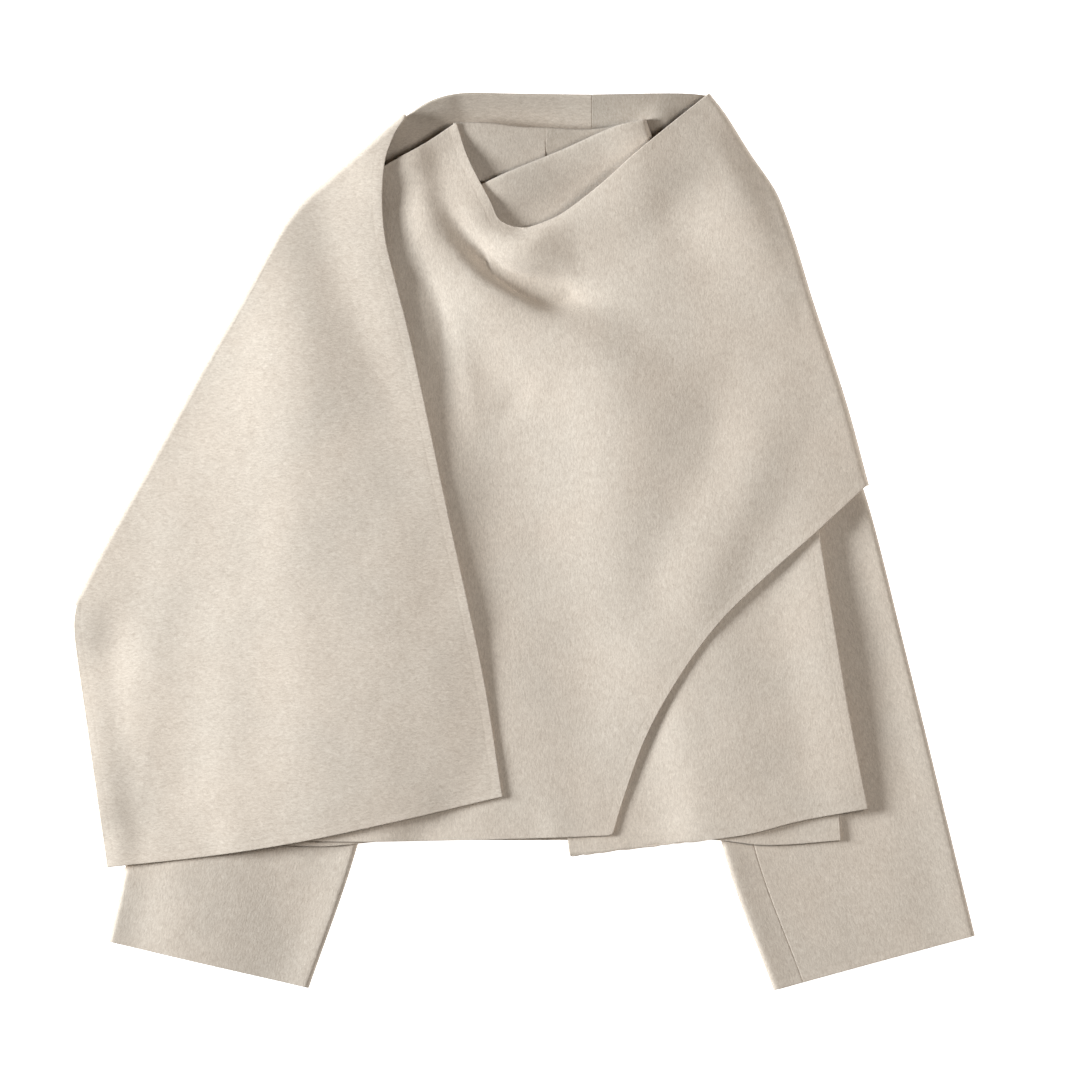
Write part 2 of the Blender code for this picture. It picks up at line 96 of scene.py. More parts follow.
# ---- soft folds -------------------------------------------------------------------------------------
# A row is a point on a fold's crest, or on a trough's floor: x, y, height, and half widths to the left
# and the right of its course.
FRONT_FOLDS = {
    "broad loft": ((80, 180, 0, 80, 90), (90, 120, 2, 90, 110), (96, 60, 1, 90, 100),
                   (96, 6, -2, 50, 60), (98, -50, -2, 44, 56), (90, -100, 0, 44, 50)),
    "span beside the sleeve": ((-60, 130, 0, 60, 60), (-50, 20, 3, 64, 64), (-46, -60, 4, 66, 66),
                               (-36, -130, 5, 84, 74), (-30, -246, 4, 90, 80)),
    "trough beside the scarf": ((-98, 230, 0, 26, 26), (-94, 214, -2, 26, 26),
                                (-87, 200, -4, 26, 26), (-77, 170, -6, 28, 26), (-68, 130, -5, 28, 26),
                                (-60, 90, -2, 26, 26), (-52, 50, 0, 26, 26)),
    "turn over the shoulder": ((-150, 283, 2, 30, 30), (-112, 310, 5, 40, 30), (-84, 326, 3, 34, 30),
                               (-58, 342, 0, 30, 30)),
    "slope beside the scarf": ((-116, 318, 4, 56, 20), (-110, 290, 6, 56, 20), (-106, 264, 5, 50, 20),
                               (-102, 236, 2, 44, 20), (-98, 214, 0, 40, 20)),
    "crest of the shoulder": ((-94, 336, 0, 20, 30), (-91, 318, 3, 20, 34), (-87, 298, 4, 20, 36),
                              (-82, 274, 4, 20, 32), (-76, 250, 3, 20, 26), (-68, 228, 0, 20, 20)),
    "hollow of the shoulder": ((-56, 340, -1, 34, 44), (-53, 318, -2, 36, 50), (-52, 298, -1, 32, 46),
                               (-54, 281, 0, 22, 34)),
    "shoulder over the fold": ((140, 350, 2, 30, 44), (160, 314, 8, 34, 60), (184, 268, 7, 34, 64),
                               (208, 214, 2, 34, 54)),
    "cowl": ((-46, 286, 0, 18, 18), (-38, 268, 1, 18, 20), (-28, 254, 2, 18, 24), (-14, 244, 5, 18, 28),
             (4, 243, 8, 18, 40), (22, 254, 8, 18, 60), (44, 272, 7, 20, 66), (70, 295, 5, 22, 64),
             (96, 320, 4, 24, 54), (121, 341, 2, 24, 40)),
    "belly under the cowl": ((-40, 252, 0, 20, 12), (-32, 245, 1, 26, 12), (-20, 238, 3, 38, 15),
                             (-8, 232, 5, 52, 18), (8, 228, 5, 60, 22), (26, 228, 3, 60, 26),
                             (46, 232, 0, 50, 28)),
    "valley below the cowl": ((-12, 211, -2, 20, 10), (6, 204, -5, 26, 14), (22, 202, -4, 28, 16),
                              (38, 203, -1, 28, 18), (50, 206, 0, 26, 20)),
    "lip, and the right arm of the V": (
        (-76, 272, 1, 10, 20), (-73, 259, 2, 16, 26), (-65, 247, 3, 22, 30), (-58, 235, 5, 28, 36),
        (-48, 223, 7, 34, 42), (-38, 212, 10, 38, 46), (-27, 201, 12, 40, 50), (-12, 190, 13, 38, 58),
        (10, 178, 13, 36, 68), (34, 166, 11, 44, 84), (54, 147, 8, 60, 100), (66, 116, 7, 96, 110),
        (70, 79, 6, 100, 98), (70, 42, 5, 80, 82), (69, 5, 4, 66, 66), (66, -34, 1, 50, 50)),
    "crease under the cowl": ((-62, 276, 0, 16, 14), (-58, 264, -2, 16, 14), (-54, 256, -4, 16, 14),
                              (-48, 246, -6, 16, 13), (-39, 236, -9, 16, 13), (-29, 226, -12, 16, 12),
                              (-14, 214, -15, 18, 10), (2, 205, -14, 20, 10), (20, 199, -9, 20, 12),
                              (40, 197, -4, 20, 14), (60, 199, -1, 20, 16)),
    "left arm of the V": ((216, 165, 0, 44, 44), (202, 116, 2, 44, 46), (194, 79, 4, 44, 46),
                          (182, 42, 5, 40, 48), (164, 5, 4, 36, 50), (150, -30, 3, 32, 50),
                          (134, -76, 0, 30, 50)),
}
# The crease is tucked under its lip. Here the third value is how far the cloth moves along TUCK_WAY.
FRONT_TUCK = {
    "under the lip": ((-24, 222, 0, 12, 7), (-10, 211, 3, 15, 7), (4, 204, 5, 16, 8), (20, 199, 2, 16, 8),
                      (34, 197, 0, 16, 8)),
    "lip": ((-28, 213, 0, 8, 22), (-16, 203, -2, 8, 22), (-3, 197, -3, 9, 20), (16, 190, -1, 9, 18),
            (30, 187, 0, 9, 18)),
}
TUCK_WAY = (-0.70, -0.71)
SCARF_FOLDS = {
    "raised cut edge": ((-96, 350, 3, 40, 60), (-107, 325, 5, 40, 60), (-114, 290, 6, 40, 58),
                        (-114, 246, 6, 40, 56), (-110, 220, 5, 40, 48), (-101, 187, 4, 40, 40),
                        (-91, 150, 2, 40, 34), (-80, 110, 1, 40, 30), (-61, 20, 0, 40, 30)),
    "long roll": ((-198, 258, 2, 40, 40), (-186, 190, 4, 46, 54), (-176, 120, 5, 66, 62),
                  (-172, 20, 5, 90, 66), (-170, -90, 4, 130, 66), (-168, -250, 2, 130, 66)),
    "side edge": ((-358, -60, 1, 24, 24), (-352, -150, 3, 26, 26), (-338, -240, 3, 26, 26),
                  (-334, -262, 2, 24, 24)),
    "incline": ((-170, 120, 1, 120, 120), (-140, 0, 2, 130, 180), (-130, -120, 2, 120, 200),
                (-130, -260, 0, 120, 200)),
}
SLEEVE_FOLDS = {
    "outer side of the right sleeve": ((-268, -210, 0, 60, 50), (-276, -270, 5, 90, 56),
                                       (-274, -350, 6, 104, 70)),
}
UNDER_FOLDS = {
    "raised side": ((240, 60, 2, 40, 50), (250, -50, 5, 40, 50), (268, -150, 5, 40, 50),
                    (284, -230, 2, 40, 50)),
}
BACK_NECK_FOLDS = {
    "standing neck edge": ((-112, 350, 16, 44, 44), (-98, 366, 20, 46, 46), (-70, 379, 22, 48, 48),
                           (-40, 383, 20, 44, 44), (56, 381, 17, 46, 46), (124, 379, 15, 90, 90),
                           (158, 372, 8, 70, 70)),
    "band beside the tab": ((98, 352, 0, 24, 24), (112, 338, 7, 24, 24), (128, 322, 0, 24, 24)),
}
COLLAR_FOLDS = {
    "standing collar": ((-60, 345, 8, 34, 34), (18, 341, 8, 34, 34), (100, 348, 3, 34, 34)),
}
TAB_FOLDS = {
    "standing tab": ((-54, 290, 4, 40, 44), (-12, 305, 8, 40, 46), (32, 322, 7, 40, 46),
                     (73, 341, 3, 36, 40), (100, 348, 0, 30, 30)),
}
NO_FOLDS = {}


# ---- sizes and colours that a user would change --------------------------------------------------
class CoatCloth(bpy.types.PropertyGroup):
    thickness: FloatProperty(name="Thickness", description="Thickness of the double cloth",
                             default=0.0025, min=0.0005, unit="LENGTH")
    gap: FloatProperty(name="Air gap", description="Air between two layers that lie on each other",
                       default=0.0004, min=0.0001, unit="LENGTH")
    seam: FloatProperty(name="Seam gap", description="Air between two sewn edges, before their rounding",
                        default=-0.0003, unit="LENGTH")
    reach: FloatProperty(name="Drape reach", description="How far an under layer bridges a step below it",
                         default=0.020, min=0.002, unit="LENGTH")
    cape_reach: FloatProperty(name="Cape reach", description="How far the cape bridges a step below it",
                              default=0.032, min=0.002, unit="LENGTH")
    fold_rise: FloatProperty(name="Fold rise", description="Height of a fold, cloth middle to middle",
                             default=0.0085, min=0.002, unit="LENGTH")
    fold_reach: FloatProperty(name="Fold reach", description="Half width of a folded edge",
                              default=0.0038, min=0.001, unit="LENGTH")
    waviness: FloatProperty(name="Waviness", description="Height of the small uneven waves in the cloth",
                            default=0.0003, min=0.0, unit="LENGTH")


class CoatFinish(bpy.types.PropertyGroup):
    light: FloatVectorProperty(name="Light fibres", description="Colour of the light fibres of the melange",
                               default=(0.77, 0.673, 0.561), subtype="COLOR", min=0.0, max=1.0)
    dark: FloatVectorProperty(name="Dark fibres", description="Colour of the dark fibres of the melange",
                              default=(0.47, 0.385, 0.304), subtype="COLOR", min=0.0, max=1.0)
    sheen: FloatProperty(name="Sheen", description="Strength of the nap's sheen", default=0.25, min=0.0,
                         max=1.0, subtype="FACTOR")
    roughness: FloatProperty(name="Roughness", description="Roughness of the wool", default=0.95, min=0.0,
                             max=1.0, subtype="FACTOR")
    edge_swell: FloatProperty(name="Edge swell", description="Extra thickness of a closed edge, as a share",
                              default=0.05, min=0.0, max=1.0, subtype="FACTOR")
    edge_width: FloatProperty(name="Edge width", description="Distance of the closing stitches from an edge",
                              default=0.0072, min=0.001, unit="LENGTH")


class CoatStudio(bpy.types.PropertyGroup):
    view_width: FloatProperty(name="View width", description="Width of the view at the surface",
                              default=0.8856, min=0.1, unit="LENGTH")
    camera_height: FloatProperty(name="Camera height", description="Height of the camera over the surface",
                                 default=7.0, min=0.5, unit="LENGTH")
    key: FloatProperty(name="Key light", description="Power of the soft light from the left, in watts",
                       default=199.0, min=0.0)
    distance: FloatProperty(name="Distance", description="Distance of both lights from the coat",
                            default=3.2, min=0.5, unit="LENGTH")
    key_size: FloatProperty(name="Key size", description="Width of the key light", default=1.13, min=0.01,
                            unit="LENGTH")
    key_height: FloatProperty(name="Key height", description="Angle of the key light over the floor",
                              default=radians(22), subtype="ANGLE")
    key_side: FloatProperty(name="Key side", description="Side the key light comes from, round from X",
                            default=radians(176), subtype="ANGLE")
    top: FloatProperty(name="Top light", description="Power of the light from above at the right, in watts",
                       default=48.8, min=0.0)
    top_size: FloatProperty(name="Top size", description="Width of the top light", default=1.13, min=0.01,
                            unit="LENGTH")
    top_height: FloatProperty(name="Top height", description="Angle of the top light over the floor",
                              default=radians(54.5), subtype="ANGLE")
    top_side: FloatProperty(name="Top side", description="Side the top light comes from, round from X",
                            default=radians(14), subtype="ANGLE")
    fill: FloatProperty(name="Fill", description="Strength of the light from all round",
                        default=0.04, min=0.0)
    floor_glow: FloatProperty(name="Floor glow", description="Light of its own that keeps the floor white",
                              default=1.0, min=0.0)


def settings():
    return bpy.context.scene.cape_coat_cloth


def finish_settings():
    return bpy.context.scene.cape_coat_finish


def half_cloth():
    return 0.5 * settings().thickness / MM


def half_seam():
    return 0.5 * settings().seam / MM


# ---- curves and grids ----------------------------------------------------------------------------
CURVE_STEPS = 24            # steps of a curve between two of its points, before it is cut into cells
CURVE_CELL = 1.0            # length of a curve's cells where their number isn't given


def curve_through(points, cells=None):
    """A Catmull-Rom curve through the points, cut into equal cells."""
    p = np.array(points, float)
    p = np.vstack((2 * p[0] - p[1], p, 2 * p[-1] - p[-2]))
    t = np.linspace(0.0, 1.0, CURVE_STEPS + 1)[:, None]
    dense = [p[1][None]]
    for a, b, c, d in zip(p[:-3], p[1:-2], p[2:-1], p[3:]):
        square, cube = 2 * a - 5 * b + 4 * c - d, 3 * b - a - 3 * c + d
        run = 0.5 * (2 * b + (c - a) * t + square * t**2 + cube * t**3)
        dense.append(run[1:])
    dense = np.vstack(dense)
    length = lengths_along(dense[:, :2])
    if cells is None:
        cells = max(2, int(round(length[-1] / CURVE_CELL)))
    where = np.linspace(0.0, length[-1], cells + 1)
    return np.column_stack([np.interp(where, length, dense[:, k]) for k in range(p.shape[1])])


def lengths_along(line):
    steps = np.linalg.norm(np.diff(line, axis=0), axis=1)
    return np.concatenate(([0.0], np.cumsum(steps)))


def edge_of(*runs):
    """Joins curves that meet at corners: each run is a table and its number of cells."""
    parts = [curve_through(points, cells) for points, cells in runs]
    return np.vstack([parts[0]] + [part[1:] for part in parts[1:]])


def patch(first, last, start, end):
    """Grid between four edges: rows run from first to last, and columns from start to end."""
    u = np.linspace(0.0, 1.0, len(first))[None, :, None]
    v = np.linspace(0.0, 1.0, len(start))[:, None, None]
    between_rows = (1 - v) * first[None] + v * last[None]
    between_columns = (1 - u) * start[:, None] + u * end[:, None]
    corners = (1 - v) * ((1 - u) * first[0] + u * first[-1]) + v * ((1 - u) * last[0] + u * last[-1])
    return between_rows + between_columns - corners


EDGE_STEPS = (0.0, 0.7, 2.2, 4.2, 6.6, 9.2, 12.4)    # distances of a grid's first lines from a cut edge
EDGE_SHARE = 0.25           # share of a row that these steps may take up


def respaced(grid, cells, fine_start=True, fine_end=True, crowd=1.0):
    """Puts the columns of each row at new places: close together near its ends, and even between.

    With crowd over 1, the columns between are closer together towards the start.
    """
    rows = []
    none = np.zeros(0)
    for row in grid:
        length = lengths_along(row)
        total = length[-1]
        steps = np.array(EDGE_STEPS) * min(1.0, EDGE_SHARE * total / EDGE_STEPS[-1])
        head = steps[:-1] if fine_start else none
        tail = total - steps[:-1][::-1] if fine_end else none
        first = steps[-1] if fine_start else 0.0
        last = total - steps[-1] if fine_end else total
        even = np.linspace(0.0, 1.0, cells + 1 - len(head) - len(tail))
        middle = first + (last - first) * even**crowd
        where = np.concatenate((head, middle, tail))
        rows.append(np.column_stack([np.interp(where, length, row[:, k]) for k in range(row.shape[1])]))
    return np.array(rows)


def across(grid):
    return np.swapaxes(grid, 0, 1)


def outline_of(grid):
    return np.vstack((grid[0], grid[1:, -1], grid[-1, -2::-1], grid[-2:0:-1, 0]))


def inward(line, towards):
    """Unit normals of a line, on the side where the point towards lies."""
    along = np.gradient(line, axis=0)
    normal = np.column_stack((-along[:, 1], along[:, 0]))
    normal /= np.linalg.norm(normal, axis=1)[:, None]
    side = np.sum(normal * (np.array(towards) - line), axis=1)
    return normal * np.sign(side)[:, None]


# ---- the bed: a height map of all that lies below ------------------------------------------------
class Bed:
    """Square height maps, in millimetres, that the pieces are laid on one after another."""

    cell = 2.0
    cells = 432
    half = 0.5 * cell * (cells - 1)
    widening_step = 3           # cells that one round of widening reaches
    fold_blur = 1.7             # rounds the line along a fold's crest
    floor_blur = 3.0            # how far the heights under a piece are carried past its outline
    outline_blur = 2.5          # and how far its own are
    sparse_blur = 5.0           # fills the cells between the points of a grid
    wide_wave = 22.0
    fine_wave = 9.0
    fine_share = 0.35           # height of the fine waves, as a share of that of the wide ones

    def __init__(self):
        self.axis = np.linspace(-self.half, self.half, self.cells)
        self.x, self.y = np.meshgrid(self.axis, self.axis)
        self.top = np.zeros_like(self.x)
        frequency = np.fft.fftfreq(len(self.axis), self.cell)
        self.frequency2 = frequency[:, None]**2 + frequency[None, :len(self.axis) // 2 + 1]**2

    def blur(self, field, width):
        kernel = np.exp(-2 * pi**2 * width**2 * self.frequency2)
        return np.fft.irfft2(np.fft.rfft2(field) * kernel, s=field.shape)

    def inside(self, outline):
        """Cells whose centre lies inside a closed outline."""
        found = np.zeros(self.x.shape, bool)
        x0, y0 = outline.T
        x1, y1 = np.roll(outline, -1, axis=0).T
        for ax, ay, bx, by in zip(x0, y0, x1, y1):
            if ay == by:
                continue
            rows = (self.axis > min(ay, by)) & (self.axis <= max(ay, by))
            if rows.any():
                crossing = ax + (self.axis[rows] - ay) * (bx - ax) / (by - ay)
                found[rows] ^= self.axis[None, :] < crossing[:, None]
        return found

    def spread(self, field, mask, width):
        """Carries a field past the mask, so that a point on the outline reads a true height."""
        weight = self.blur(mask.astype(float), width)
        carried = self.blur(np.where(mask, field, 0.0), width) / np.maximum(weight, 1e-4)
        return np.where(mask, field, carried)

    def widened(self, field, radius):
        """The highest value of a field within a radius of each cell."""
        step = self.widening_step
        for _ in range(max(1, int(round(radius / self.cell / step)))):
            best = field
            for row in range(-step, step + 1):
                for column in range(-step, step + 1):
                    if row * row + column * column <= step * step + 1:
                        best = np.maximum(best, np.roll(field, (row, column), (0, 1)))
            field = best
        return field

    def smooth(self, field, mask, width):
        weight = np.maximum(self.blur(mask.astype(float), width), 1e-4)
        return self.blur(np.where(mask, field, 0.0), width) / weight

    def bridged(self, floor, mask, reach):
        """A surface over a floor with steps: it bridges every step within its reach, with no hard line."""
        high = self.widened(np.where(mask, floor, 0.0), reach)
        z = self.smooth(high, mask, 0.5 * reach)
        lift = np.maximum(floor - z, 0.0)
        return z + self.smooth(self.widened(np.where(mask, lift, 0.0), 0.5 * reach), mask, 0.25 * reach)

    def drape(self, mask, reach, raised=None, edges=()):
        """Stiff cloth over what lies below, which comes down to it towards the open edges."""
        floor = self.top + half_cloth() + np.where(self.top > 0, settings().gap / MM, 0.0)
        if raised is not None:
            floor = np.maximum(floor, raised)
        z = self.bridged(floor, mask, reach)
        if edges:
            points = np.column_stack((self.x[mask], self.y[mask]))
            away = np.clip(distance_to(points[:, None], edges)[:, 0] / (1.5 * reach), 0.0, 1.0)
            near = self.bridged(floor, mask, 0.5 * reach)
            z[mask] = near[mask] + (z - near)[mask] * away**2 * (3 - 2 * away)
        return self.spread(np.maximum(floor, z), mask, self.floor_blur), floor

    def lay(self, outline, reach, folds, seed, raised=None, edges=()):
        """Lays one layer of cloth inside an outline, with its folds, and returns its heights."""
        mask = self.inside(outline)
        z, floor = self.drape(mask, reach, raised, edges)
        z = np.maximum(z + self.folds(folds) + self.waves(seed), floor)
        z = self.spread(z, mask, self.outline_blur)
        self.cover(mask, z)
        return z

    def cover(self, mask, z):
        self.top = np.where(mask, np.maximum(self.top, z + half_cloth()), self.top)

    def read(self, field, flat):
        """Heights of a field at the points of a grid."""
        column = np.clip((flat[..., 0] + self.half) / self.cell, 0, len(self.axis) - 1.001)
        row = np.clip((flat[..., 1] + self.half) / self.cell, 0, len(self.axis) - 1.001)
        c, r = column.astype(int), row.astype(int)
        fc, fr = column - c, row - r
        low = field[r, c] * (1 - fc) + field[r, c + 1] * fc
        high = field[r + 1, c] * (1 - fc) + field[r + 1, c + 1] * fc
        return low * (1 - fr) + high * fr

    def folds(self, table):
        """Sum of soft ridges and troughs, each along a bent line."""
        total = np.zeros_like(self.x)
        for crest in table.values():
            line = curve_through(crest, 60)
            x_line, y_line, height, left, right = line.T
            reach = max(left.max(), right.max())
            box = np.ix_((self.axis >= y_line.min() - reach) & (self.axis <= y_line.max() + reach),
                         (self.axis >= x_line.min() - reach) & (self.axis <= x_line.max() + reach))
            dx, dy = self.x[box][..., None] - x_line, self.y[box][..., None] - y_line
            squared = dx**2 + dy**2
            nearest = squared.argmin(-1)
            along_x, along_y = np.gradient(x_line)[nearest], np.gradient(y_line)[nearest]
            near_x = np.take_along_axis(dx, nearest[..., None], -1)[..., 0]
            near_y = np.take_along_axis(dy, nearest[..., None], -1)[..., 0]
            width = np.where(along_x * near_y > along_y * near_x, left[nearest], right[nearest])
            away = np.clip(np.sqrt(squared.min(-1)) / width, 0.0, 1.0)
            total[box] += height[nearest] * (0.5 + 0.5 * np.cos(pi * away))
        return self.blur(total, self.fold_blur)

    def waves(self, seed):
        """Small uneven waves, the same each time."""
        noise = np.random.default_rng(seed).normal(size=self.x.shape)
        wide, fine = self.blur(noise, self.wide_wave), self.blur(noise[::-1], self.fine_wave)
        return settings().waviness / MM * (wide / wide.std() + self.fine_share * fine / fine.std())


BED = Bed()
CAPE = {}                   # the two halves of the cape, from when their lower parts lie on the floor


# ---- meshes --------------------------------------------------------------------------------------
def distance_to(flat, lines):
    """Distance of each point of a grid from the nearest of some lines."""
    points = flat.reshape(-1, 2)
    best = np.full(len(points), 1e6)
    for line in lines:
        a, b = line[:-1], line[1:]
        for start in range(0, len(points), 2000):
            p = points[start:start + 2000, None]
            along = np.clip(((p - a) * (b - a)).sum(-1) / np.maximum(((b - a)**2).sum(-1), 1e-9), 0.0, 1.0)
            away = np.linalg.norm(p - (a + along[..., None] * (b - a)), axis=-1).min(1)
            best[start:start + 2000] = np.minimum(best[start:start + 2000], away)
    return best.reshape(flat.shape[:2])


SWELL_SHARE = 0.8           # width of an edge's swell, as a share of the stitches' distance from it
GROOVE_DEPTH = 0.03         # what the stitches press in, as a share of the thickness
GROOVE_WIDTH = 1.5


def edge_factor(distance):
    """Thickness of the cloth near a hand-closed edge, as a share of its full thickness."""
    finish = finish_settings()
    width = finish.edge_width / MM
    swell = finish.edge_swell * np.clip(1.0 - distance / (SWELL_SHARE * width), 0.0, 1.0)**0.5
    groove = GROOVE_DEPTH * np.exp(-((distance - width) / GROOVE_WIDTH)**2)
    return 1.0 + swell - groove


def distance_down(grid):
    """Distance of each point of a grid from its first row, along its column."""
    steps = np.linalg.norm(np.diff(grid, axis=0), axis=2)
    return np.vstack((np.zeros((1, steps.shape[1])), np.cumsum(steps, axis=0)))


def cloth_mesh(name, grid, edge_distance, behind=0):
    """One piece of cloth: a grid of points with a wall put round it, thicker along its closed edges.

    The first columns lie in front. Those from behind on, if that is given, lie behind, and their inner
    face is up.
    """
    rows, columns = grid.shape[:2]
    bm = bmesh.new()
    bmesh.ops.create_grid(bm, x_segments=columns - 1, y_segments=rows - 1, size=1.0)
    along, down = distance_down(across(grid)).T, distance_down(grid)
    place_of = {}
    for vertex in bm.verts:
        row = int(round(0.5 * (vertex.co.y + 1.0) * (rows - 1)))
        column = int(round(0.5 * (vertex.co.x + 1.0) * (columns - 1)))
        place_of[vertex] = (row, column)
        vertex.co = Vector(grid[row, column] * MM)
    cloth_uv = bm.loops.layers.uv.new("cloth")
    edge_uv = bm.loops.layers.uv.new("edge")
    for face in bm.faces:
        for loop in face.loops:
            row, column = place_of[loop.vert]
            # The material darkens the columns behind, partly for their nap and partly as painted shade.
            lies_behind = 1.0 if behind and column >= behind else 0.0
            loop[cloth_uv].uv = (along[row, column] * MM, down[row, column] * MM)
            loop[edge_uv].uv = (edge_distance[row, column] * MM, lies_behind)
        face.smooth = True
    factor = edge_factor(edge_distance)
    factors = [factor[place_of[vertex]] for vertex in bm.verts]
    mesh = bpy.data.meshes.new(name + "_cloth")
    bm.to_mesh(mesh)
    bm.free()
    piece = bpy.data.objects.new(name + "_cloth", mesh)
    bpy.context.scene.collection.objects.link(piece)
    give_wall(piece, factors)
    return piece


def give_wall(piece, factors):
    """Gives a sheet its thickness, by a factor at each vertex, and rounds its corners."""
    full = 1.0 + finish_settings().edge_swell
    group = piece.vertex_groups.new(name="edge")
    for index, factor in enumerate(factors):
        group.add([index], float(factor / full), "REPLACE")
    wall = piece.modifiers.new("Wall", "SOLIDIFY")
    wall.thickness = settings().thickness * full
    wall.offset = 0.0
    wall.vertex_group = "edge"
    wall.thickness_vertex_group = 0.0
    soft = piece.modifiers.new("Soft", "SUBSURF")
    soft.levels = 1
    soft.render_levels = 1


def place(piece, node, material):
    """Gives a piece its material, puts it on its body and hides its solid."""
    piece.data.materials.append(material)
    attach(piece, BODY)
    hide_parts(node)


# ---- wool ----------------------------------------------------------------------------------------
COARSE_FIBRES = (820.0, 230.0, 3.0)     # fibres a metre across the nap and along it, and noise detail
FINE_FIBRES = (2400.0, 700.0, 2.0)
FIBRE_ROUGHNESS = 0.6
SWAY = (140.0, 2.0, 0.004)              # waves a metre, noise detail and reach of the fibres' sway
CLUMPS = (120.0, 3.0, 0.55)             # clumps a metre, noise detail and roughness
PATCHES = (16.0, 2.0, 0.5)              # broad patches, the same
MELANGE = (0.50, 0.38, 0.12)            # shares of coarse fibres, fine ones and clumps in the colour
MELANGE_RANGE = (0.30, 0.70)            # values of their sum that are all dark and all light fibres
PATCH_RANGE = (0.35, 0.65)
PATCH_TINTS = ((1.0, 0.985, 0.975), (0.985, 0.985, 0.985))
RELIEF = (0.55, 0.20, 0.25)             # shares of coarse fibres, fine ones and clumps in the bump
RELIEF_STRENGTH = 0.35
RELIEF_DEPTH = 0.0012
STITCH_HALF_WIDTH = 0.0016
STITCH_SHADE = (0.80, 0.77, 0.74)
STITCH_DARKNESS = 0.14
STITCH_DEPTH = 0.12
BEHIND_TINT = (1.0, 0.995, 0.985)       # colour of the inner face, before it is darkened partly for its nap and partly as painted shade
SHEEN_TINT = (1.0, 0.97, 0.93)
SHEEN_ROUGHNESS = 0.55
SPECULAR = 0.15


def node(tree, kind, **values):
    made = tree.nodes.new(kind)
    for name, value in values.items():
        setattr(made, name, value)
    return made


def math_node(tree, operation, first, second=None):
    made = node(tree, "ShaderNodeMath", operation=operation)
    for socket, value in zip(made.inputs, (first, second)):
        if isinstance(value, (int, float)):
            socket.default_value = value
        elif value is not None:
            tree.links.new(value, socket)
    return made.outputs[0]


def weighted_sum(tree, values, shares):
    """Sum of values, each times its share."""
    parts = [math_node(tree, "MULTIPLY", value, share) for value, share in zip(values, shares)]
    total = parts[0]
    for part in parts[1:]:
        total = math_node(tree, "ADD", total, part)
    return total


def noise_node(tree, vector, scale, detail, roughness):
    made = node(tree, "ShaderNodeTexNoise")
    tree.links.new(vector, made.inputs["Vector"])
    made.inputs["Scale"].default_value = scale
    made.inputs["Detail"].default_value = detail
    made.inputs["Roughness"].default_value = roughness
    return made.outputs["Fac"]


def ramp_node(tree, value, positions, colors):
    made = node(tree, "ShaderNodeValToRGB")
    for element, position, color in zip(made.color_ramp.elements, positions, colors):
        element.position = position
        element.color = (*color, 1.0)
    tree.links.new(value, made.inputs["Fac"])
    return made.outputs["Color"]


def multiplied(tree, color, by, factor):
    """A colour multiplied by another, which is a socket or three values."""
    made = node(tree, "ShaderNodeMix", data_type="RGBA", blend_type="MULTIPLY")
    tree.links.new(color, made.inputs["A"])
    if isinstance(by, tuple):
        made.inputs["B"].default_value = (*by, 1.0)
    else:
        tree.links.new(by, made.inputs["B"])
    if isinstance(factor, float):
        made.inputs["Factor"].default_value = factor
    else:
        tree.links.new(factor, made.inputs["Factor"])
    return made.outputs["Result"]


def swayed(tree, point):
    """A point of the cloth, moved a little to and fro, so that fibres aren't straight."""
    scale, detail, reach = SWAY
    noise = node(tree, "ShaderNodeTexNoise")
    noise.inputs["Scale"].default_value = scale
    noise.inputs["Detail"].default_value = detail
    tree.links.new(point, noise.inputs["Vector"])
    centred = node(tree, "ShaderNodeVectorMath", operation="SUBTRACT")
    centred.inputs[1].default_value = (0.5, 0.5, 0.5)
    tree.links.new(noise.outputs["Color"], centred.inputs[0])
    scaled = node(tree, "ShaderNodeVectorMath", operation="SCALE")
    scaled.inputs["Scale"].default_value = reach
    tree.links.new(centred.outputs[0], scaled.inputs[0])
    moved = node(tree, "ShaderNodeVectorMath", operation="ADD")
    tree.links.new(point, moved.inputs[0])
    tree.links.new(scaled.outputs[0], moved.inputs[1])
    return moved.outputs[0]


def fibres(tree, point, nap_angle, across_nap, along_nap, detail):
    """Noise drawn out along the nap."""
    mapping = node(tree, "ShaderNodeMapping", vector_type="TEXTURE")
    mapping.inputs["Rotation"].default_value = (0.0, 0.0, nap_angle)
    mapping.inputs["Scale"].default_value = (1.0 / across_nap, 1.0 / along_nap, 1.0 / across_nap)
    tree.links.new(point, mapping.inputs["Vector"])
    return noise_node(tree, mapping.outputs[0], 1.0, detail, FIBRE_ROUGHNESS)


def stitch_line(tree, edge_distance):
    """A line of closing stitches beside the edge: 1 on it, 0 off it."""
    away = math_node(tree, "SUBTRACT", edge_distance, finish_settings().edge_width)
    line = node(tree, "ShaderNodeMapRange", interpolation_type="SMOOTHSTEP")
    line.inputs["From Min"].default_value = STITCH_HALF_WIDTH
    line.inputs["From Max"].default_value = 0.0
    tree.links.new(math_node(tree, "ABSOLUTE", away), line.inputs["Value"])
    return line.outputs["Result"]


